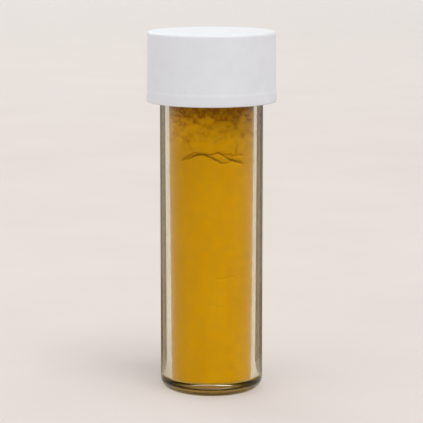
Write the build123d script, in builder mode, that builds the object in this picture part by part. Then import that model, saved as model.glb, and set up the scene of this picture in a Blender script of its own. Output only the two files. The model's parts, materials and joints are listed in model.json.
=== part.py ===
from build123d import *
import math
import os

# A clear screw-cap sample vial filled with caked ochre powder.
# Millimetres. The vial stands on Z = 0, its axis is the Z axis, and its front faces -Y.

# Driving dimensions
overall_height = 59.5
tube_diameter = 16.9
cap_height = 11.5
cap_rim_diameter = 21.3
thread_pitch = 3.0
thread_turns = 1.75

# Tube: a moulded wall whose bore narrows towards the floor
tube_radius = tube_diameter / 2
floor_height = 2.0
bore_floor_radius = 6.7
bore_mouth_radius = 7.1
bore_floor_fillet = 0.4
outer_base_fillet = 1.8
foot_recess_radius = 5.6
foot_recess_depth = 0.3
gate_stub_radius = 0.6
gate_stub_height = 0.2

# Cap: a smooth skirt with a little draft and a shallow band round its rim
cap_rim_radius = cap_rim_diameter / 2
cap_rim_height = overall_height - cap_height
cap_top_radius = 10.5
cap_top_thickness = 1.4
cap_top_fillet = 0.5
cap_lower_fillet = 0.25
rim_band_height = 1.7
rim_band_step = 0.05
skirt_lead_in = 0.3

# Liner: a foam disc held between the cap and the mouth of the tube
liner_thickness = 1.0
liner_radius = 9.1
liner_top = overall_height - cap_top_thickness
mouth_height = liner_top - liner_thickness
mouth_edge_fillet = 0.3

# Neck, a little slimmer than the tube, inside the skirt of the cap
neck_radius = 8.2
shoulder_height = cap_rim_height
shoulder_rise = 0.25

# Right-hand thread, of the same trapezoidal ridge on the neck and in the cap
ridge_height = 0.9
ridge_root_width = 1.5
ridge_crest_width = 0.6
ridge_embedding = 0.15
ridge_end_fillet = 0.25
tolerance = 0.01
thread_clearance = 0.2
flank_gap = 0.15
neck_thread_start = 50.6
skirt_radius = neck_radius + ridge_height + thread_clearance
flank_slope = (ridge_root_width - ridge_crest_width) / (2 * ridge_height)
facing_width = ridge_crest_width + 2 * flank_slope * (ridge_height - thread_clearance)
ridge_spacing = (ridge_crest_width + facing_width) / 2 + flank_gap
cap_thread_start = neck_thread_start - ridge_spacing

# Powder: it stands clear of the bore by a thin film of air
powder_gap = 0.05
powder_floor_fillet = bore_floor_fillet + 2 * powder_gap
crack_height = 39.5
powder_top = 51.0
powder_top_tilt = 5.0
clump_left = 0.3
clump_right = 2.6
clump_rise = 0.85
clump_depth = 2.0


def bore_radius(height):
    """The radius of the bore at a height above its floor."""
    share = (height - floor_height) / (mouth_height - floor_height)
    return bore_floor_radius + share * (bore_mouth_radius - bore_floor_radius)


def thread_ridge(root_radius, outward, start_height):
    """A right-hand helical ridge that stands out from a wall, or in if outward is -1, and starts on +X."""
    foot_radius = root_radius - outward * ridge_embedding
    crest_radius = root_radius + outward * ridge_height
    half_crest = ridge_crest_width / 2
    half_foot = ridge_root_width / 2 + flank_slope * ridge_embedding
    flank_length = math.hypot(crest_radius - foot_radius, half_foot - half_crest)
    with BuildPart() as ridge:
        with BuildLine():
            Helix(thread_pitch, thread_pitch * thread_turns, root_radius, center=(0, 0, start_height))
        with BuildSketch(Plane.XZ):
            with BuildLine():
                Polyline(
                    (foot_radius, start_height - half_foot),
                    (crest_radius, start_height - half_crest),
                    (crest_radius, start_height + half_crest),
                    (foot_radius, start_height + half_foot),
                    close=True,
                )
            make_face()
        sweep(is_frenet=True)
        end_faces = ridge.faces().filter_by(GeomType.PLANE)
        flank_edges = end_faces.edges().filter_by(lambda edge: abs(edge.length - flank_length) < tolerance)
        fillet(flank_edges, ridge_end_fillet)
    return ridge.part


def powder_plug(low, high):
    """A plug that fills the bore between two heights, less the film of air."""
    with BuildPart() as plug:
        with BuildSketch(Plane.XY.offset(low)):
            Circle(bore_radius(low) - powder_gap)
        with BuildSketch(Plane.XY.offset(high)):
            Circle(bore_radius(high) - powder_gap)
        loft()
    return plug.part


def clump_block(margin):
    """The low arched block at the front of the powder, grown by a margin, before it is cut to the bore."""
    with BuildPart() as block:
        with BuildSketch(Plane.XZ.offset(bore_floor_radius - clump_depth - margin)):
            with BuildLine():
                left = (clump_left - margin, crack_height)
                right = (clump_right + margin, crack_height)
                crown = ((clump_left + clump_right) / 2, crack_height + clump_rise + margin)
                Line(left, right)
                ThreePointArc(right, crown, left)
            make_face()
        extrude(amount=2 * clump_depth)
    return block.part


# Vial body
neck_thread = thread_ridge(neck_radius, 1, neck_thread_start)
with BuildPart() as vial_body:
    with BuildSketch(Plane.XZ):
        with BuildLine():
            Polyline(
                (0, foot_recess_depth),
                (foot_recess_radius, foot_recess_depth),
                (foot_recess_radius + foot_recess_depth, 0),
                (tube_radius, 0),
                (tube_radius, shoulder_height),
                (neck_radius, shoulder_height + shoulder_rise),
                (neck_radius, mouth_height),
                (bore_mouth_radius, mouth_height),
                (bore_floor_radius, floor_height),
                (0, floor_height),
                close=True,
            )
        make_face()
    revolve(axis=Axis.Z)
    fillet(edges().group_by(Axis.Z)[0].sort_by(SortBy.RADIUS)[-1], outer_base_fillet)
    fillet(edges().group_by(Axis.Z)[-1], mouth_edge_fillet)
    floor_edge = edges().filter_by_position(Axis.Z, floor_height - tolerance, floor_height + tolerance)
    fillet(floor_edge, bore_floor_fillet)
    with BuildSketch(Plane.XY.offset(foot_recess_depth)):
        Circle(gate_stub_radius)
    extrude(amount=-gate_stub_height)
    add(neck_thread)

# Screw cap
cap_thread = thread_ridge(skirt_radius, -1, cap_thread_start)
band_top = cap_rim_height + rim_band_height
with BuildPart() as screw_cap:
    with BuildSketch(Plane.XZ):
        with BuildLine():
            Polyline(
                (0, overall_height),
                (cap_top_radius, overall_height),
                (cap_rim_radius - rim_band_step, band_top + rim_band_step),
                (cap_rim_radius, band_top),
                (cap_rim_radius, cap_rim_height),
                (skirt_radius + skirt_lead_in, cap_rim_height),
                (skirt_radius, cap_rim_height + skirt_lead_in),
                (skirt_radius, liner_top),
                (0, liner_top),
                close=True,
            )
        make_face()
    revolve(axis=Axis.Z)
    fillet(edges().group_by(Axis.Z)[-1], cap_top_fillet)
    fillet(edges().group_by(Axis.Z)[0].sort_by(SortBy.RADIUS)[-1], cap_lower_fillet)
    add(cap_thread)

# Cap liner
with BuildPart() as cap_liner:
    with BuildSketch(Plane.XY.offset(mouth_height)):
        Circle(liner_radius)
    extrude(amount=liner_thickness)

# Powder below the crack
lower_plug = powder_plug(floor_height, crack_height)
with BuildPart() as powder_column:
    add(lower_plug)
    fillet(edges().group_by(Axis.Z)[0], powder_floor_fillet)

# Powder above the crack, with a sloping top and a pocket for the clump
upper_plug = powder_plug(crack_height, mouth_height)
clump_pocket = clump_block(powder_gap)
with BuildPart() as powder_upper:
    add(upper_plug)
    add(clump_pocket, mode=Mode.SUBTRACT)
    split(bisect_by=Plane.XY.offset(powder_top).rotated((0, powder_top_tilt, 0)), keep=Keep.BOTTOM)

# Clump caught in the crack
clump_blank = clump_block(0)
with BuildPart() as powder_clump:
    add(clump_blank)
    add(upper_plug, mode=Mode.INTERSECT)

sub_parts = {
    "vial_body": vial_body,
    "screw_cap": screw_cap,
    "cap_liner": cap_liner,
    "powder_column": powder_column,
    "powder_upper": powder_upper,
    "powder_clump": powder_clump,
}
os.makedirs("parts", exist_ok=True)
for node_name, builder in sub_parts.items():
    builder.part.label = node_name
    export_step(builder.part, f"parts/{node_name}.step")
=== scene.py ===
import json
import math
import random

import bmesh
import bpy
import numpy as np
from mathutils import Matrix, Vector, noise


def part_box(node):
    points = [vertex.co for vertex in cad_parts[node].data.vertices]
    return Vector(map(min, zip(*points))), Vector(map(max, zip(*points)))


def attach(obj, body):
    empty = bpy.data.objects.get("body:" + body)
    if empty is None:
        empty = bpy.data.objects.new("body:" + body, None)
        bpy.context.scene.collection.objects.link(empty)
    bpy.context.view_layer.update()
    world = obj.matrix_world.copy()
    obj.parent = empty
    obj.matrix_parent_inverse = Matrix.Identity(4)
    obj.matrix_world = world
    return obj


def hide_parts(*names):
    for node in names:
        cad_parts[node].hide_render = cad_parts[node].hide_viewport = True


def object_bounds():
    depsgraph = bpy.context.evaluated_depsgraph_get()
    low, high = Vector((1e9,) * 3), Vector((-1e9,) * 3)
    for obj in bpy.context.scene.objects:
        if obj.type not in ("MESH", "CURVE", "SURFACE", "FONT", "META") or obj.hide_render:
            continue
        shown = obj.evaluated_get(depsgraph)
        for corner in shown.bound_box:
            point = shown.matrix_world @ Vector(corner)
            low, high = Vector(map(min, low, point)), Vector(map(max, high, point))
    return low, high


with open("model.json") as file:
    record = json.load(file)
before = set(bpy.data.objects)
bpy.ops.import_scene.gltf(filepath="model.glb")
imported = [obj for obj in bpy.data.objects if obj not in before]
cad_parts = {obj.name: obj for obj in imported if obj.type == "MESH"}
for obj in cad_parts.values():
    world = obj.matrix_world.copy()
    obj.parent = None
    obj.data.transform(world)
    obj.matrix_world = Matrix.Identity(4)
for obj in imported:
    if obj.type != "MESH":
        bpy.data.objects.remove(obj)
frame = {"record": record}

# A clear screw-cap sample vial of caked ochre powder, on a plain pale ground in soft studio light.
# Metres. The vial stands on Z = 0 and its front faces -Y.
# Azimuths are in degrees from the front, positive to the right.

MM = 0.001
FULL_TURN = 2 * math.pi

# What the frame says
cad_low, cad_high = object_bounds()
body_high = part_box("vial_body")[1]
cap_low, cap_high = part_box("screw_cap")
liner_low, liner_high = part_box("cap_liner")
column_low, column_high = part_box("powder_column")
mounts = {mount["name"]: mount for mount in frame["record"]["mounts"]}
coupling = frame["record"]["behaviour"]["couplings"][0]
THREAD_PITCH = coupling["ratio"] * FULL_TURN
TUBE_RADIUS = mounts["tube_barrel"]["dims"]["r_mm"] * MM
FLOOR_HEIGHT = column_low.z
CRACK_HEIGHT = column_high.z
MOUTH_HEIGHT = body_high.z
RIM_HEIGHT = cap_low.z

# Moulded features of the tube
BORE_FLOOR_RADIUS = 6.7 * MM
BORE_MOUTH_RADIUS = 7.1 * MM
FLOOR_FILLET = 0.4 * MM
BASE_FILLET = 1.8 * MM
FOOT_RECESS_RADIUS = 5.6 * MM
FOOT_RECESS_DEPTH = 0.3 * MM
GATE_RADIUS = 0.6 * MM
GATE_HEIGHT = 0.2 * MM
NECK_RADIUS = 8.2 * MM
SHOULDER_RISE = 0.25 * MM
LIP_FILLET = 0.3 * MM

# Moulded features of the cap
CAP_TOP_RADIUS = 10.5 * MM
CAP_TOP_FILLET = 0.5 * MM
CAP_LOWER_FILLET = 0.25 * MM
SKIRT_RADIUS = 9.3 * MM
SKIRT_LEAD_IN = 0.3 * MM
BAND_HEIGHT = 1.7 * MM
BAND_STEP = 0.05 * MM
BAND_BLEND = 0.35 * MM
CAP_DIMPLE_DEPTH = 0.12 * MM
LINER_EDGE = 0.15 * MM
LINER_DENT = 0.12 * MM

# Thread
THREAD_TURNS = 1.75
RIDGE_HEIGHT = 0.9 * MM
RIDGE_HALF_ROOT = 0.75 * MM
RIDGE_HALF_CREST = 0.3 * MM
NECK_THREAD_START = 50.6 * MM
CAP_THREAD_START = 49.5 * MM
RIDGE_RUN_OUT_TURNS = 0.03

# Powder
POWDER_GAP = 0.05 * MM
POWDER_SEGMENTS = 320
POWDER_TOP = 51 * MM
POWDER_TILT = math.tan(math.radians(5))
CLUMP_DEPTH = 1.6 * MM
HAIRLINE_WIDTH = 0.2 * MM
LOWER_CHIP_HEIGHT = 0.24 * MM
LOWER_CHIP_DEPTH = 0.25 * MM
UPPER_CHIP_HEIGHT = 0.28 * MM
UPPER_CHIP_DEPTH = 0.3 * MM
OPEN_GAPE = 0.02 * MM
DUST_NEAR_DEPTH = 0.008 * MM
DUST_FAR_DEPTH = 0.014 * MM


def arc(centre, radius, start, end, steps=8):
    """Points of an arc in the (radius, height) plane, with its angles in degrees."""
    angles = np.radians(np.linspace(start, end, steps + 1))
    return [(centre[0] + radius * math.cos(a), centre[1] + radius * math.sin(a)) for a in angles]


def line(start, end, steps):
    """Points from start up to, and without, end."""
    shares = np.linspace(0, 1, steps, endpoint=False)
    return [(start[0] + s * (end[0] - start[0]), start[1] + s * (end[1] - start[1])) for s in shares]


def smooth_step(value):
    """An eased rise from 0 to 1, held outside that range."""
    held = np.clip(value, 0, 1)
    return held * held * (3 - 2 * held)


def bore_radius(height):
    """The radius of the tapered bore at a height."""
    share = (height - FLOOR_HEIGHT) / (MOUTH_HEIGHT - FLOOR_HEIGHT)
    return BORE_FLOOR_RADIUS + share * (BORE_MOUTH_RADIUS - BORE_FLOOR_RADIUS)


def turn_angles(segments):
    """Even angles about +Z, in radians, that start on +X."""
    return np.arange(segments) * FULL_TURN / segments


def azimuth_of(angles):
    """Degrees from the front, from -180 to 180, of angles about +Z that start on +X."""
    return (np.degrees(angles) + 90 + 180) % 360 - 180


def spun(outline, segments):
    """Rings of radii and heights for an outline, each as (rows, segments)."""
    points = np.array(outline)
    return np.repeat(points[:, :1], segments, 1), np.repeat(points[:, 1:], segments, 1)


def thread_ridge(heights, angles, start):
    """How far a right-hand ridge stands out of its wall at each point."""
    raised = np.zeros_like(heights)
    for whole_turns in range(math.ceil(THREAD_TURNS)):
        turns = whole_turns + angles[None, :] / FULL_TURN
        away = np.abs(heights - start - THREAD_PITCH * turns)
        shape = np.clip((RIDGE_HALF_ROOT - away) / (RIDGE_HALF_ROOT - RIDGE_HALF_CREST), 0, 1)
        ends = smooth_step(turns / RIDGE_RUN_OUT_TURNS)
        ends = ends * smooth_step((THREAD_TURNS - turns) / RIDGE_RUN_OUT_TURNS)
        raised = np.maximum(raised, shape * ends * RIDGE_HEIGHT)
    return raised


def revolved(name, radii, heights, sharp_degrees=40):
    """A closed mesh from rings of points, whose first and last rings are single points on the axis."""
    rows, segments = radii.shape
    angles = turn_angles(segments)[None, :]
    rings = np.stack([radii * np.cos(angles), radii * np.sin(angles), heights], -1)
    middle = rings[1:-1].reshape(-1, 3)
    points = np.vstack([[(0, 0, heights[0, 0])], middle, [(0, 0, heights[-1, 0])]])
    last = len(points) - 1
    here = np.arange(segments)
    after = (here + 1) % segments
    faces = [(0, 1 + b, 1 + a) for a, b in zip(here, after)]
    for row in range(rows - 3):
        lower = 1 + row * segments
        upper = lower + segments
        faces += [(lower + a, lower + b, upper + b, upper + a) for a, b in zip(here, after)]
    top = 1 + (rows - 3) * segments
    faces += [(top + a, top + b, last) for a, b in zip(here, after)]
    return closed_mesh(name, points, faces, sharp_degrees)


def closed_mesh(name, points, faces, sharp_degrees=180):
    """A smooth-shaded object whose faces all look outwards."""
    mesh = bpy.data.meshes.new(name)
    mesh.from_pydata([tuple(map(float, p)) for p in points], [], [tuple(map(int, f)) for f in faces])
    work = bmesh.new()
    work.from_mesh(mesh)
    bmesh.ops.recalc_face_normals(work, faces=work.faces)
    if work.calc_volume(signed=True) < 0:
        bmesh.ops.reverse_faces(work, faces=work.faces)
    work.to_mesh(mesh)
    work.free()
    mesh.shade_smooth()
    if sharp_degrees < 180:
        mesh.set_sharp_from_angle(angle=math.radians(sharp_degrees))
    made = bpy.data.objects.new(name, mesh)
    bpy.context.scene.collection.objects.link(made)
    return made


def noise_at(points, size, octaves=3):
    """Fractal noise of about -1 to 1, for an array of points, whose largest features are about size wide."""
    flat = points.reshape(-1, 3) / size
    values = [noise.fractal(Vector(p), 1.0, 2.0, octaves) for p in flat]
    return np.array(values).reshape(points.shape[:-1])


def place(radii, angles, heights):
    """Points in space for rings of radii and heights."""
    return np.stack([radii * np.cos(angles), radii * np.sin(angles), heights], -1)


def belongs(piece, body, node, material):
    """Puts a piece on its body, in place of its CAD node, with its finish."""
    piece.data.materials.append(material)
    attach(piece, body)
    if node:
        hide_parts(node)


# Materials


class Shader:
    """A new material with one Principled node, and short ways to add to it."""

    def __init__(self, name):
        self.material = bpy.data.materials.new(name)
        self.material.use_nodes = True
        self.tree = self.material.node_tree
        self.tree.nodes.clear()
        self.output = self.tree.nodes.new("ShaderNodeOutputMaterial")
        self.surface = self.tree.nodes.new("ShaderNodeBsdfPrincipled")
        self.tree.links.new(self.surface.outputs[0], self.output.inputs["Surface"])
        self.place = self.tree.nodes.new("ShaderNodeTexCoord").outputs["Object"]

    def set(self, **values):
        """Gives the surface's own sockets one value all over."""
        for name, value in values.items():
            self.surface.inputs[name.replace("_", " ")].default_value = value

    def node(self, kind, inputs=None, **settings):
        """A new node, whose inputs are sockets to link from or plain values."""
        made = self.tree.nodes.new(kind)
        for name, value in settings.items():
            setattr(made, name, value)
        for name, value in (inputs or {}).items():
            if isinstance(value, bpy.types.NodeSocket):
                self.tree.links.new(value, made.inputs[name])
            else:
                made.inputs[name].default_value = value
        return made

    def stretched(self, scale):
        """The object's coordinates, with a scale of their own along each axis."""
        return self.node("ShaderNodeMapping", {"Vector": self.place, "Scale": scale}).outputs[0]

    def noise(self, size, detail=3.0, roughness=0.55, vector=None):
        """Noise from 0 to 1 whose largest features are about size wide."""
        inputs = {"Scale": 1 / size, "Detail": detail, "Roughness": roughness}
        return self.node("ShaderNodeTexNoise", {"Vector": vector or self.place, **inputs}).outputs["Fac"]

    def cells(self, size):
        """Distance to the middle of the nearest cell, for cells about size wide."""
        inputs = {"Vector": self.place, "Scale": 1 / size}
        return self.node("ShaderNodeTexVoronoi", inputs).outputs["Distance"]

    def ramp(self, value, stops):
        """A colour ramp through (position, colour) stops."""
        made = self.node("ShaderNodeValToRGB", {"Fac": value})
        elements = made.color_ramp.elements
        while len(elements) < len(stops):
            elements.new(0.5)
        for element, (position, colour) in zip(elements, stops):
            element.position = position
            element.color = (*colour, 1)
        return made.outputs["Color"]

    def range(self, value, low, high, start=0.0, end=1.0):
        """The value, taken from start..end to low..high and held there."""
        inputs = {"Value": value, "From Min": start, "From Max": end, "To Min": low, "To Max": high}
        return self.node("ShaderNodeMapRange", inputs).outputs["Result"]

    def mix(self, factor, first, second):
        """A colour between two, each a socket or an (r, g, b)."""
        made = self.node("ShaderNodeMix", data_type="RGBA")
        for index, value in ((0, factor), (6, first), (7, second)):
            if isinstance(value, bpy.types.NodeSocket):
                self.tree.links.new(value, made.inputs[index])
            elif index:
                made.inputs[index].default_value = (*value, 1)
            else:
                made.inputs[index].default_value = value
        return made.outputs[2]

    def math(self, operation, first, second):
        return self.node("ShaderNodeMath", {0: first, 1: second}, operation=operation).outputs[0]

    def along(self, axis):
        """The object's own coordinate along an axis."""
        return self.node("ShaderNodeSeparateXYZ", {"Vector": self.place}).outputs[axis]

    def bump(self, height, distance, strength=1.0, under=None):
        """A normal for fine relief, on top of another if under is given."""
        inputs = {"Height": height, "Distance": distance, "Strength": strength}
        if under:
            inputs["Normal"] = under
        return self.node("ShaderNodeBump", inputs).outputs["Normal"]

    def feed(self, name, socket):
        """Links a socket to the surface."""
        self.tree.links.new(socket, self.surface.inputs[name])


def clear_plastic():
    """Polished clear polystyrene, with faint flow lines from moulding and a few rubs."""
    shader = Shader("clear_plastic")
    shader.set(Base_Color=(0.955, 0.95, 0.835, 1), IOR=1.59, Transmission_Weight=1.0)
    shader.set(Specular_Tint=(0.03, 0.03, 0.03, 1))
    rubs = shader.noise(1.5 * MM, 4.0, vector=shader.stretched((1, 1, 0.3)))
    shader.feed("Roughness", shader.range(rubs, 0.0, 0.05, 0.5, 0.8))
    flow = shader.noise(2.5 * MM, 2.0, vector=shader.stretched((1, 1, 0.08)))
    shader.feed("Normal", shader.bump(flow, 0.02 * MM, 0.3))
    return shader.material


def white_plastic():
    """White polyethylene: a soft sheen, faint mottling and fine rubs."""
    shader = Shader("white_plastic")
    shader.set(IOR=1.5, Subsurface_Weight=0.15, Subsurface_Scale=0.6 * MM, Subsurface_Radius=(1.0, 0.9, 0.8))
    mottle = shader.noise(3 * MM, 4.0)
    colour = shader.ramp(mottle, [(0.3, (0.71, 0.745, 0.79)), (0.7, (0.745, 0.78, 0.825))])
    specks = shader.range(shader.noise(0.35 * MM, 2.0), 0.0, 1.0, 0.70, 0.78)
    shader.feed("Base Color", shader.mix(specks, colour, (0.62, 0.64, 0.67)))
    rubs = shader.noise(1.2 * MM, 5.0, vector=shader.stretched((1, 1, 0.35)))
    shader.feed("Roughness", shader.range(rubs, 0.34, 0.55, 0.3, 0.75))
    peel = shader.bump(shader.noise(0.6 * MM, 3.0), 0.03 * MM, 0.35)
    shader.feed("Normal", shader.bump(shader.noise(4 * MM, 1.0), 0.15 * MM, 0.25, under=peel))
    return shader.material


def liner_foam():
    """Fine white closed-cell foam."""
    shader = Shader("liner_foam")
    cells = shader.cells(0.25 * MM)
    shader.feed("Base Color", shader.ramp(cells, [(0.1, (0.70, 0.70, 0.68)), (0.6, (0.84, 0.84, 0.82))]))
    shader.set(Roughness=0.9, Specular_IOR_Level=0.25)
    shader.feed("Normal", shader.bump(cells, 0.05 * MM, 0.6))
    return shader.material


def ochre_powder():
    """Fine caked ochre powder: mottled by how hard it is packed, with darker and paler grains, brown clods
    and flecks in its upper part, painted shade that darkens it towards the cap's rim, and painted light that
    makes its upper part paler.
    """
    shader = Shader("ochre_powder")
    packing = shader.noise(4 * MM, 4.0, 0.6, vector=shader.stretched((1, 1, 0.4)))
    base = shader.ramp(
        packing,
        [(0.3, (0.79, 0.382, 0.0003)), (0.5, (0.83, 0.41, 0.0003)), (0.7, (0.87, 0.443, 0.0005))],
    )
    height = shader.along("Z")
    # Painted shade of the cap: from 44 mm up the powder turns dark brown towards the rim. This adds to the
    # brown clods, which are the powder's own.
    rim_shade = shader.range(height, 0.0, 1.0, 44.0 * MM, 47.1 * MM)
    clods = shader.noise(1.0 * MM, 6.0, 0.85, vector=shader.stretched((0.75, 0.75, 1)))
    clods = shader.range(clods, -0.75, 0.85, 0.42, 0.61)
    # Painted light: above 39.5 mm the powder is mixed towards a paler ochre to offset the cap's shade. The
    # same height mask keeps the brown clods and flecks to the loose upper powder.
    loose_and_lit = shader.range(height, 0.0, 1.0, 39.5 * MM, 42.5 * MM)
    clods_and_rim_shade = shader.range(shader.math("ADD", rim_shade, clods), 0.0, 1.0, 0.15, 1.0)
    base = shader.mix(loose_and_lit, base, (0.97, 0.49, 0.0005))
    base = shader.mix(shader.math("MULTIPLY", clods_and_rim_shade, loose_and_lit), base, (0.47, 0.13, 0.001))
    flecks = shader.noise(0.7 * MM, 4.0, 0.7, vector=shader.stretched((0.8, 0.8, 1.2)))
    flecks = shader.range(flecks, 0.0, 0.6, 0.57, 0.68)
    base = shader.mix(shader.math("MULTIPLY", flecks, loose_and_lit), base, (0.52, 0.17, 0.001))
    grain = shader.noise(0.22 * MM, 3.0, 0.7)
    dark_grains = shader.range(grain, 0.0, 0.8, 0.62, 0.78)
    pale_grains = shader.range(grain, 0.5, 0.0, 0.24, 0.36)
    darkened = shader.mix(dark_grains, base, (0.48, 0.2, 0.002))
    shader.feed("Base Color", shader.mix(pale_grains, darkened, (0.84, 0.45, 0.01)))
    shader.set(Roughness=0.95, Specular_IOR_Level=0.1)
    coarse = shader.bump(shader.noise(0.8 * MM, 3.0), 0.06 * MM, 0.3)
    shader.feed("Normal", shader.bump(grain, 0.05 * MM, 0.6, under=coarse))
    return shader.material


def clinging_dust():
    """A sparse film of the powder's finest dust, uneven and partly see-through."""
    shader = Shader("clinging_dust")
    colours = [(0.3, (0.92, 0.64, 0.018)), (0.7, (0.96, 0.70, 0.026))]
    shader.feed("Base Color", shader.ramp(shader.noise(2 * MM), colours))
    patchy = shader.range(shader.noise(1.4 * MM, 4.0, 0.6), 0.04, 0.11, 0.3, 0.7)
    height = shader.along("Z")
    settled = shader.range(height, 0.45, 0.0, FLOOR_HEIGHT, FLOOR_HEIGHT + FLOOR_FILLET)
    shader.feed("Alpha", shader.math("ADD", patchy, settled))
    shader.set(Roughness=0.95, Specular_IOR_Level=0.0)
    return shader.material


def pale_card():
    """Smooth pale cream card for the floor, a little paler far behind the vial: painted light that evens out
    the lamps' falloff with distance.
    """
    shader = Shader("pale_card")
    mottle = shader.noise(40 * MM, 3.0)
    near = shader.ramp(mottle, [(0.35, (0.66, 0.613, 0.597)), (0.65, (0.68, 0.633, 0.617))])
    # Painted light: the floor turns paler from 0.3 m to 1.1 m behind the vial.
    far_painted_light = shader.range(shader.along("Y"), 0.0, 1.0, 0.3, 1.1)
    shader.feed("Base Color", shader.mix(far_painted_light, near, (0.715, 0.695, 0.68)))
    shader.set(Roughness=0.85, Specular_IOR_Level=0.2)
    return shader.material


def flag_card(name, darker, paler):
    """Matt mottled card."""
    shader = Shader(name)
    mottle = shader.noise(30 * MM, 3.0)
    shader.feed("Base Color", shader.ramp(mottle, [(0.35, darker), (0.65, paler)]))
    shader.set(Roughness=0.95, Specular_IOR_Level=0.1)
    return shader.material


# Tube


def tube_piece():
    """The clear tube: foot with a gate mark, plain barrel, threaded neck, lip, tapered bore and floor."""
    segments = 240
    foot_outer = TUBE_RADIUS - BASE_FILLET
    gate_face = FOOT_RECESS_DEPTH - GATE_HEIGHT
    shoulder = RIM_HEIGHT + SHOULDER_RISE
    lip_base = MOUTH_HEIGHT - LIP_FILLET
    gate_edge = 0.1 * MM
    seam = 0.4 * MM
    outline = [(0, gate_face), (GATE_RADIUS / 2, gate_face)]
    outline += arc((GATE_RADIUS - gate_edge, gate_face + gate_edge), gate_edge, -90, 0, 4)
    outline += line((GATE_RADIUS, FOOT_RECESS_DEPTH), (FOOT_RECESS_RADIUS, FOOT_RECESS_DEPTH), 10)
    outline += arc((FOOT_RECESS_RADIUS, 0), FOOT_RECESS_DEPTH, 90, 0, 6)
    outline += line((FOOT_RECESS_RADIUS + 0.35 * MM, 0), (foot_outer, 0), 4)
    outline += arc((foot_outer, BASE_FILLET), BASE_FILLET, -90, 0, 20)
    outline += line((TUBE_RADIUS, BASE_FILLET + 0.5 * MM), (TUBE_RADIUS, RIM_HEIGHT), 48)
    outline += line((TUBE_RADIUS, RIM_HEIGHT), (NECK_RADIUS, shoulder), 4)
    outline += line((NECK_RADIUS, shoulder), (NECK_RADIUS, lip_base), 96)
    outline += arc((NECK_RADIUS - LIP_FILLET, lip_base), LIP_FILLET, 0, 90, 6)
    outline += arc((BORE_MOUTH_RADIUS + LIP_FILLET, lip_base), LIP_FILLET, 90, 180, 6)
    bore_end = FLOOR_HEIGHT + FLOOR_FILLET
    outline += line((BORE_MOUTH_RADIUS, lip_base - seam), (BORE_FLOOR_RADIUS, bore_end + seam), 48)
    outline += arc((BORE_FLOOR_RADIUS - FLOOR_FILLET, bore_end), FLOOR_FILLET, 0, -90, 14)
    outline += line((BORE_FLOOR_RADIUS - FLOOR_FILLET - seam, FLOOR_HEIGHT), (0.3 * MM, FLOOR_HEIGHT), 10)
    outline += [(0, FLOOR_HEIGHT)]
    radii, heights = spun(outline, segments)
    angles = turn_angles(segments)
    on_neck = (radii >= NECK_RADIUS - 0.01 * MM) & (heights > shoulder)
    radii = radii + np.where(on_neck, thread_ridge(heights, angles, NECK_THREAD_START), 0)
    tube = revolved("vial_tube", radii, heights)
    tube.visible_shadow = False
    return tube


# Cap


def cap_piece():
    """The white cap: flat top with a gate dimple, drafted skirt with a rim band, and its inner thread."""
    segments = 240
    top = cap_high.z
    under_top = liner_high.z
    rim_radius = min(cap_high.x, -cap_low.x)
    band_top = RIM_HEIGHT + BAND_HEIGHT
    edge = (CAP_TOP_RADIUS - CAP_TOP_FILLET, top - CAP_TOP_FILLET)
    dimple_floor = top - CAP_DIMPLE_DEPTH
    lower_edge = (rim_radius - CAP_LOWER_FILLET, RIM_HEIGHT + CAP_LOWER_FILLET)
    lead_in = SKIRT_RADIUS + SKIRT_LEAD_IN
    outline = [(0, dimple_floor), (0.5 * MM, dimple_floor), (0.8 * MM, top - 0.03 * MM), (1.0 * MM, top)]
    outline += line((1.2 * MM, top), (edge[0], top), 16)
    outline += arc(edge, CAP_TOP_FILLET, 90, 0, 14)
    outline += line(
        (CAP_TOP_RADIUS, top - CAP_TOP_FILLET - 0.3 * MM),
        (rim_radius - BAND_STEP, band_top + BAND_BLEND),
        40,
    )
    outline += line((rim_radius - BAND_STEP, band_top + BAND_BLEND), (rim_radius, band_top), 4)
    outline += line((rim_radius, band_top), (rim_radius, RIM_HEIGHT + CAP_LOWER_FILLET), 6)
    outline += arc(lower_edge, CAP_LOWER_FILLET, 0, -90, 8)
    outline += line((lead_in + 0.2 * MM, RIM_HEIGHT), (lead_in, RIM_HEIGHT), 1)
    outline += line((lead_in, RIM_HEIGHT), (SKIRT_RADIUS, RIM_HEIGHT + SKIRT_LEAD_IN), 4)
    outline += line((SKIRT_RADIUS, RIM_HEIGHT + SKIRT_LEAD_IN), (SKIRT_RADIUS, under_top), 104)
    outline += line((SKIRT_RADIUS, under_top), (0.3 * MM, under_top), 12)
    outline += [(0, under_top)]
    radii, heights = spun(outline, segments)
    angles = turn_angles(segments)
    on_skirt = np.abs(radii - SKIRT_RADIUS) < 0.01 * MM
    radii = radii - np.where(on_skirt, thread_ridge(heights, angles, CAP_THREAD_START), 0)
    return revolved("cap_shell", radii, heights)


def liner_piece():
    """The foam disc, dented by the lip of the tube."""
    segments = 180
    low, high = liner_low.z, liner_high.z
    edge_start = liner_high.x - LINER_EDGE
    dent_floor = low + LINER_DENT
    dent_outer = NECK_RADIUS - 0.1 * MM
    dent_inner = BORE_MOUTH_RADIUS + 0.1 * MM
    inner_lip = BORE_MOUTH_RADIUS - 0.2 * MM
    outline = [(0, high)] + line((0.4 * MM, high), (edge_start, high), 14)
    outline += arc((edge_start, high - LINER_EDGE), LINER_EDGE, 90, 0, 4)
    outline += arc((edge_start, low + LINER_EDGE), LINER_EDGE, 0, -90, 4)
    outline += line((NECK_RADIUS + 0.2 * MM, low), (dent_outer, dent_floor), 3)
    outline += line((dent_outer, dent_floor), (dent_inner, dent_floor), 4)
    outline += line((dent_inner, dent_floor), (inner_lip, low), 3)
    outline += line((inner_lip, low), (0.4 * MM, low), 12) + [(0, low)]
    return revolved("liner_disc", *spun(outline, segments))


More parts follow.
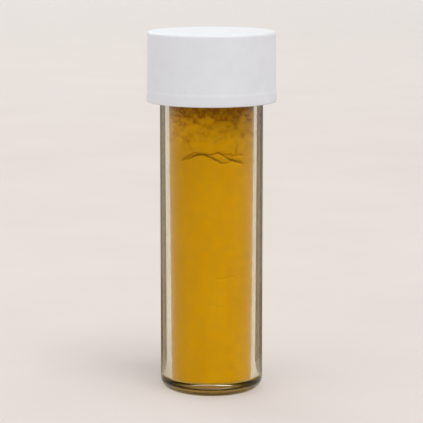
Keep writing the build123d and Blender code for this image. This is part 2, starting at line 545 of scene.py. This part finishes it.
# Stage, lights and camera
FLAG_FOOT_START = 8.8 * MM
DARK_FLAG_RADIUS = 22 * MM
DARK_FLAG_LOW = 0.3 * MM
DARK_FLAG_TOP = 47 * MM
BROWN_FLAG_RADIUS = 21.5 * MM
BROWN_FLAG_LOW = 0.6 * MM
BROWN_FLAG_TOP = 13 * MM


def staged(name, points, faces, material):
    """An object of the stage, which is no part of the vial."""
    mesh = bpy.data.meshes.new(name)
    mesh.from_pydata(points, [], faces)
    made = bpy.data.objects.new(name, mesh)
    bpy.context.scene.collection.objects.link(made)
    made.data.materials.append(material)
    return made


def pale_ground():
    """A wide round floor that curves up into a low wall."""
    floor_radius = 0.9
    bend = 0.5
    outline = line((0.02, 0), (floor_radius, 0), 30) + arc((floor_radius, bend), bend, -90, 0, 24)
    segments = 96
    angles = turn_angles(segments)
    points = [(0, 0, 0)] + [(r * math.cos(a), r * math.sin(a), h) for r, h in outline for a in angles]
    faces = [(0, 1 + i, 1 + (i + 1) % segments) for i in range(segments)]
    for lower in range(1, 1 + (len(outline) - 1) * segments, segments):
        upper = lower + segments
        for i in range(segments):
            j = (i + 1) % segments
            faces.append((lower + i, upper + i, upper + j, lower + j))
    ground = staged("pale_ground", points, faces, pale_card())
    ground.data.shade_smooth()


def flag(name, far, low, start_degrees, end_degrees, top, material):
    """A curved card behind the vial, with a foot, seen only through the plastic and in reflections."""
    turns = np.radians(np.linspace(start_degrees, end_degrees, 16))
    count = len(turns)
    rows = ((FLAG_FOOT_START, low), (far, low), (far, top))
    points = [(r * math.sin(a), r * math.cos(a), h) for r, h in rows for a in turns]
    faces = []
    for lower in (0, count):
        upper = lower + count
        faces += [(lower + i, lower + i + 1, upper + i + 1, upper + i) for i in range(count - 1)]
    card = staged(name, points, faces, material)
    card.visible_camera = False
    card.visible_diffuse = False
    card.visible_shadow = False


def flags():
    """Dark cards for the edges of the clear tube, and a low brown one for its base. They are painted shade:
    seen only through the plastic and in reflections, they stand in for the shade close behind the tube, the
    brown one for shade warmed by the powder's colour.
    """
    # Painted shade: cards behind the vial whose dark and brown colours darken the clear edges and the base.
    dark = flag_card("dark_card", (0.20, 0.198, 0.195), (0.22, 0.218, 0.214))
    brown = flag_card("brown_card", (0.35, 0.215, 0.07), (0.39, 0.24, 0.08))
    flag("dark_flag_left", DARK_FLAG_RADIUS, DARK_FLAG_LOW, -56, -15, DARK_FLAG_TOP, dark)
    flag("dark_flag_right", DARK_FLAG_RADIUS, DARK_FLAG_LOW, 15, 61, DARK_FLAG_TOP, dark)
    flag("brown_flag", BROWN_FLAG_RADIUS, BROWN_FLAG_LOW, -24, 24, BROWN_FLAG_TOP, brown)


def area_light(name, position, target, width, power, colour):
    """A square lamp that faces its target."""
    data = bpy.data.lights.new(name, "AREA")
    data.shape = "SQUARE"
    data.size = width
    data.energy = power
    data.color = colour
    light = bpy.data.objects.new(name, data)
    light.location = position
    light.rotation_euler = (Vector(target) - Vector(position)).to_track_quat("-Z", "Y").to_euler()
    bpy.context.scene.collection.objects.link(light)


def studio():
    """A soft key from above, weaker lights from the left and the back, and an even pale surrounding."""
    middle = (cad_low + cad_high) / 2
    area_light("key", (0.48, -0.74, 2.0), middle, 1.1, 16.9, (1.0, 0.985, 0.96))
    area_light("fill", (-1.0, -1.2, 0.7), middle, 1.0, 3.0, (0.95, 0.97, 1.0))
    area_light("back", (-0.7, 1.3, 0.9), middle, 1.1, 5.0, (1.0, 0.99, 0.97))
    world = bpy.data.worlds.new("studio_world")
    world.use_nodes = True
    background = world.node_tree.nodes["Background"]
    background.inputs["Color"].default_value = (1.0, 0.985, 0.97, 1)
    background.inputs["Strength"].default_value = 0.83
    bpy.context.scene.world = world
    bpy.context.scene.view_settings.view_transform = "Standard"


def camera():
    """A long lens a little above the vial, looking slightly down at its middle."""
    distance = 0.323
    height = 0.082
    target_height = 0.02965
    data = bpy.data.cameras.new("camera")
    data.sensor_width = 36
    data.lens = 168.4
    data.clip_start = 0.01
    viewer = bpy.data.objects.new("camera", data)
    viewer.location = (0, -distance, height)
    sight = Vector((0, 0, target_height)) - viewer.location
    viewer.rotation_euler = sight.to_track_quat("-Z", "Y").to_euler()
    bpy.context.scene.collection.objects.link(viewer)
    bpy.context.scene.camera = viewer


# Powder
powder_angles = turn_angles(POWDER_SEGMENTS)


def route_round(route):
    """The value of an (azimuth, value in mm) route at every angle of the powder, in metres, smoothed."""
    azimuths, values = zip(*route)
    found = np.interp(azimuth_of(powder_angles), azimuths, values) * MM
    return (np.roll(found, 1) + 2 * found + np.roll(found, -1)) / 4


def wall_offset(radii, heights, looseness):
    """How far the powder stands from the bore, negative inwards, with its pits and grit.

    looseness runs from 0, packed against the wall, to 1, crumbly.
    """
    points = place(radii, powder_angles, heights)
    pits = smooth_step((noise_at(points + 0.1, 1.1 * MM, 3) - 0.42 + 0.5 * looseness) / 0.3)
    grit = np.abs(noise_at(points + 0.2, 0.45 * MM, 2))
    pit_depth = (0.015 + 0.2 * looseness) * MM
    grit_depth = 0.18 * MM * looseness
    return -POWDER_GAP - pit_depth * pits - grit_depth * grit


def crack_depth(radii, heights, route, depth):
    """How far a hairline crack cuts in, along (azimuth, height in mm) points."""
    across = np.radians(azimuth_of(powder_angles))[None, :] * radii
    cut = np.zeros_like(radii)
    ends = [(math.radians(a) * BORE_FLOOR_RADIUS, h * MM) for a, h in route]
    for (start_across, start_up), (end_across, end_up) in zip(ends, ends[1:]):
        run, rise = end_across - start_across, end_up - start_up
        share = ((across - start_across) * run + (heights - start_up) * rise) / (run**2 + rise**2)
        share = np.clip(share, 0, 1)
        away = np.hypot(across - start_across - share * run, heights - start_up - share * rise)
        cut = np.maximum(cut, depth * smooth_step(1 - away / HAIRLINE_WIDTH))
    return cut


# The parting between the two masses, as (azimuth, rise in mm) round the tube, and how wide it gapes
PARTING = [
    (-180, 0), (-75, -0.3), (-48, -0.25), (-36, -0.35), (-29, -0.1), (-22, 0.3), (-15, 0.47), (-7, 0.35),
    (1, 0), (8, -0.55), (14, -0.94), (19, -0.85), (24, -0.65), (30, -0.6), (35, -0.75), (41, -1.2),
    (52, -0.9), (75, -0.3), (180, 0),
]
PARTING_GAPE = [
    (-180, 0), (-32, 0), (-26, 0.16), (-18, 0.24), (-8, 0.26), (4, 0.3), (12, 0.26), (20, 0.1), (25, 0.24),
    (33, 0.26), (40, 0.12), (44, 0), (180, 0),
]
# The upper edge of the clump's pocket, as (azimuth, rise in mm); -9 is where there is no pocket
POCKET_ROOF = [
    (-180, -9), (-7, -9), (-3, 0.45), (2, 0.7), (8, 0.84), (14, 0.55), (19, 0.1), (24, -0.45), (28, -9),
    (180, -9),
]
# Fine cracks, as a depth in mm and a route of (azimuth, height in mm)
HAIRLINES = [
    (0.55, [(-40, 39.0), (-35, 39.4), (-30, 39.85), (-25, 40.15), (-21, 40.3)]),
    (0.5, [(20, 39.95), (24, 40.1), (28, 39.8), (33, 39.75), (37, 39.9)]),
    (0.45, [(33, 39.9), (34, 40.3), (33, 40.9)]),
    (0.4, [(39, 40.0), (43, 39.7)]),
    (0.08, [(6, 19.7), (11, 19.6), (17, 19.65), (24, 19.9), (31, 19.85)]),
    (0.06, [(-5, 15.25), (1, 15.35), (7, 15.0), (14, 14.95)]),
]


def rough_edge(level):
    """The small rises and falls of a broken edge round the powder; each level has its own."""
    radii = np.full((1, POWDER_SEGMENTS), BORE_FLOOR_RADIUS)
    points = place(radii, powder_angles, np.full_like(radii, level))
    return noise_at(points, 0.8 * MM, 3)[0] * 0.2 * MM


def hairlines(radii, heights):
    """How deep the fine cracks cut at each point of the side."""
    cut = np.zeros_like(radii)
    for depth, route in HAIRLINES:
        cut = np.maximum(cut, crack_depth(radii, heights, route, depth * MM))
    return cut


def powder_rings(foot_heights, top_heights, rows, looseness_at):
    """The side rings of a mass, between two heights that vary round the tube, crowded towards the top."""
    shares = 1 - (1 - np.linspace(0, 1, rows)) ** 1.15
    heights = foot_heights[None, :] + shares[:, None] * (top_heights - foot_heights)[None, :]
    radii = bore_radius(heights)
    return radii + wall_offset(radii, heights, looseness_at(heights)), heights


def stacked(parts):
    """One pair of ring arrays from several."""
    radii, heights = zip(*parts)
    return np.vstack(radii), np.vstack(heights)


def flat_rings(edge_radii, edge_heights, inner_height, count, blend, outward):
    """Rings across the end of a mass, from its edge to the axis or, if outward, from the axis to its edge."""
    shares = np.linspace(0.97, 0, count)
    radii = shares[:, None] * edge_radii[None, :]
    eased = smooth_step((shares[:, None] - 1 + blend) / blend)
    heights = inner_height + eased * (edge_heights[None, :] - inner_height)
    rough = noise_at(place(radii, powder_angles, heights), 1.5 * MM, 3) * 0.12 * MM
    heights = heights + rough * smooth_step(shares[:, None] * 4) * (1 - eased)
    heights[-1] = inner_height
    radii[-1] = 0
    return (radii[::-1], heights[::-1]) if outward else (radii, heights)


def dust_film():
    """The finest dust, which clings to the floor and bore of the tube: a closed skin a few microns thick."""
    clearance = 0.4 * MM
    top = POWDER_TOP - clearance
    corner = (BORE_FLOOR_RADIUS - FLOOR_FILLET, FLOOR_HEIGHT + FLOOR_FILLET)

    def skin(depth):
        floor = line((0, FLOOR_HEIGHT - depth), (corner[0], FLOOR_HEIGHT - depth), 10)
        rounding = arc(corner, FLOOR_FILLET + depth, -90, 0, 14)
        side = [(bore_radius(h) + depth, h) for h in np.linspace(corner[1] + clearance, top, 60)]
        return floor + rounding + side

    outline = skin(DUST_FAR_DEPTH) + skin(DUST_NEAR_DEPTH)[::-1]
    film = revolved("powder_dust_film", *spun(outline, 240), 180)
    film.visible_shadow = False
    return film


def lower_mass():
    """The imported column: it follows the floor of the tube, and ends at the parting."""
    segments = POWDER_SEGMENTS
    fillet = FLOOR_FILLET + 2 * POWDER_GAP
    foot_radius = BORE_FLOOR_RADIUS - POWDER_GAP - fillet
    under = line((0, FLOOR_HEIGHT), (foot_radius, FLOOR_HEIGHT), 28)
    under += arc((foot_radius, FLOOR_HEIGHT + fillet), fillet, -90, -10, 6)
    parting = CRACK_HEIGHT + route_round(PARTING) + rough_edge(0.0)
    low = np.full(segments, FLOOR_HEIGHT + fillet)
    radii, heights = powder_rings(low, parting - 0.01 * MM, 262, lambda z: np.zeros_like(z))
    chipped = smooth_step(1 - (parting[None, :] - heights) / LOWER_CHIP_HEIGHT) * LOWER_CHIP_DEPTH
    radii = radii - hairlines(radii, heights) - chipped * (route_round(PARTING_GAPE) > OPEN_GAPE)
    top = flat_rings(radii[-1], heights[-1], CRACK_HEIGHT - 0.02 * MM, 14, 0.35, False)
    return revolved("powder_lower_mass", *stacked([spun(under, segments), (radii, heights), top]), 180)


def upper_mass():
    """The caked plug above the parting: crumbly towards the top, where it ends in a lumpy sloping heap."""
    parting = route_round(PARTING)
    roof = np.maximum(parting + route_round(PARTING_GAPE), route_round(POCKET_ROOF))
    gapes = roof > parting + OPEN_GAPE
    broken = np.abs(rough_edge(0.01)) * gapes
    low = CRACK_HEIGHT + roof + rough_edge(0.0) + broken + 0.01 * MM
    rim_radii = np.full((1, POWDER_SEGMENTS), bore_radius(POWDER_TOP))
    high = heap_height(place(rim_radii, powder_angles, np.full_like(rim_radii, POWDER_TOP)))[0]
    radii, heights = powder_rings(low, high, 92, lambda z: smooth_step((z - 40.3 * MM) / (6 * MM)))
    chipped = smooth_step(1 - (heights - low[None, :]) / UPPER_CHIP_HEIGHT) * UPPER_CHIP_DEPTH
    radii = radii - hairlines(radii, heights) - chipped * gapes
    under = flat_rings(radii[0], low, CRACK_HEIGHT + 0.02 * MM, 14, 0.35, True)
    shares = np.linspace(0.97, 0, 30)[:, None]
    heap_radii = shares * radii[-1][None, :]
    heap_points = place(heap_radii, powder_angles, np.full_like(heap_radii, POWDER_TOP))
    heap_heights = heap_height(heap_points)
    heap_heights[-1] = heap_heights[-1].mean()
    rings = stacked([under, (radii, heights), (heap_radii, heap_heights)])
    return revolved("powder_upper_mass", *rings, 180)


def heap_height(points):
    """The lumpy, sloping surface of the powder in the neck."""
    lumps = 0.45 * noise_at(points, 3.5 * MM, 3) + 0.22 * np.abs(noise_at(points + 0.3, 1.0 * MM, 3))
    return POWDER_TOP - points[..., 0] * POWDER_TILT + lumps * MM


def closed_slab(name, front, back):
    """A closed piece between a front and a back sheet of points, each (rows, columns, 3)."""
    rows, columns = front.shape[:2]
    points = np.vstack([front.reshape(-1, 3), back.reshape(-1, 3)])
    behind = rows * columns
    faces = []
    for row in range(rows - 1):
        for column in range(columns - 1):
            a = row * columns + column
            quad = (a, a + 1, a + 1 + columns, a + columns)
            faces += [quad, tuple(behind + q for q in reversed(quad))]
    border = list(range(columns))
    border += [r * columns + columns - 1 for r in range(1, rows)]
    border += [(rows - 1) * columns + c for c in range(columns - 2, -1, -1)]
    border += [r * columns for r in range(rows - 2, 0, -1)]
    faces += [(a, behind + a, behind + b, b) for a, b in zip(border, border[1:] + border[:1])]
    return closed_mesh(name, points, faces)


def clump():
    """The small lens of caked powder that fills the pocket over the parting."""
    azimuths = np.linspace(-4.5, 24.5, 40)
    routes = (PARTING, PARTING_GAPE, POCKET_ROOF)
    parting, gape, roof = [np.interp(azimuths, *zip(*route)) * MM for route in routes]
    floor_line = CRACK_HEIGHT + parting + 0.6 * gape
    roof_line = np.maximum(CRACK_HEIGHT + roof - 0.1 * MM, floor_line + 0.03 * MM)
    shares = np.linspace(0, 1, 12)[:, None]
    heights = floor_line + shares * (roof_line - floor_line)
    turned = np.radians(azimuths)[None, :] * np.ones_like(heights)
    rounding = 0.18 * MM * np.abs(2 * shares - 1) ** 4
    flat_points = np.stack([turned * BORE_FLOOR_RADIUS, np.zeros_like(heights), heights], -1)
    rough = 0.1 * MM * np.abs(noise_at(flat_points, 0.5 * MM, 3))
    radii = bore_radius(heights) - POWDER_GAP - rounding - rough
    front, back = [
        np.stack([r * np.sin(turned), -r * np.cos(turned), heights], -1) for r in (radii, radii - CLUMP_DEPTH)
    ]
    return closed_slab("powder_clump_lens", front, back)


def crumbs():
    """Loose crumbs on the heap in the neck."""
    chance = random.Random(7)
    points, faces = [], []
    for _ in range(46):
        size = chance.uniform(0.15, 0.5) * MM
        out = math.sqrt(chance.random()) * 5.9 * MM
        turn = chance.random() * FULL_TURN
        spot = np.array([[out * math.cos(turn), out * math.sin(turn), POWDER_TOP]])
        centre = Vector((spot[0][0], spot[0][1], heap_height(spot)[0] + 0.45 * size))
        ball = bmesh.new()
        bmesh.ops.create_icosphere(ball, subdivisions=2, radius=size)
        first = len(points)
        for vertex in ball.verts:
            dented = 1 + 0.35 * noise.noise(vertex.co / size * 1.3 + centre * 9000)
            points.append(centre + Vector((vertex.co.x, vertex.co.y, 0.8 * vertex.co.z)) * dented)
        faces += [tuple(first + v.index for v in face.verts) for face in ball.faces]
        ball.free()
    return closed_mesh("powder_crumbs", points, faces)


powder = ochre_powder()
belongs(tube_piece(), "vial", "vial_body", clear_plastic())
belongs(cap_piece(), "cap", "screw_cap", white_plastic())
belongs(liner_piece(), "liner", "cap_liner", liner_foam())
belongs(lower_mass(), "vial", "powder_column", powder)
belongs(upper_mass(), "vial", "powder_upper", powder)
belongs(clump(), "vial", "powder_clump", powder)
belongs(dust_film(), "vial", None, clinging_dust())
belongs(crumbs(), "vial", None, powder)
pale_ground()
flags()
studio()
camera()
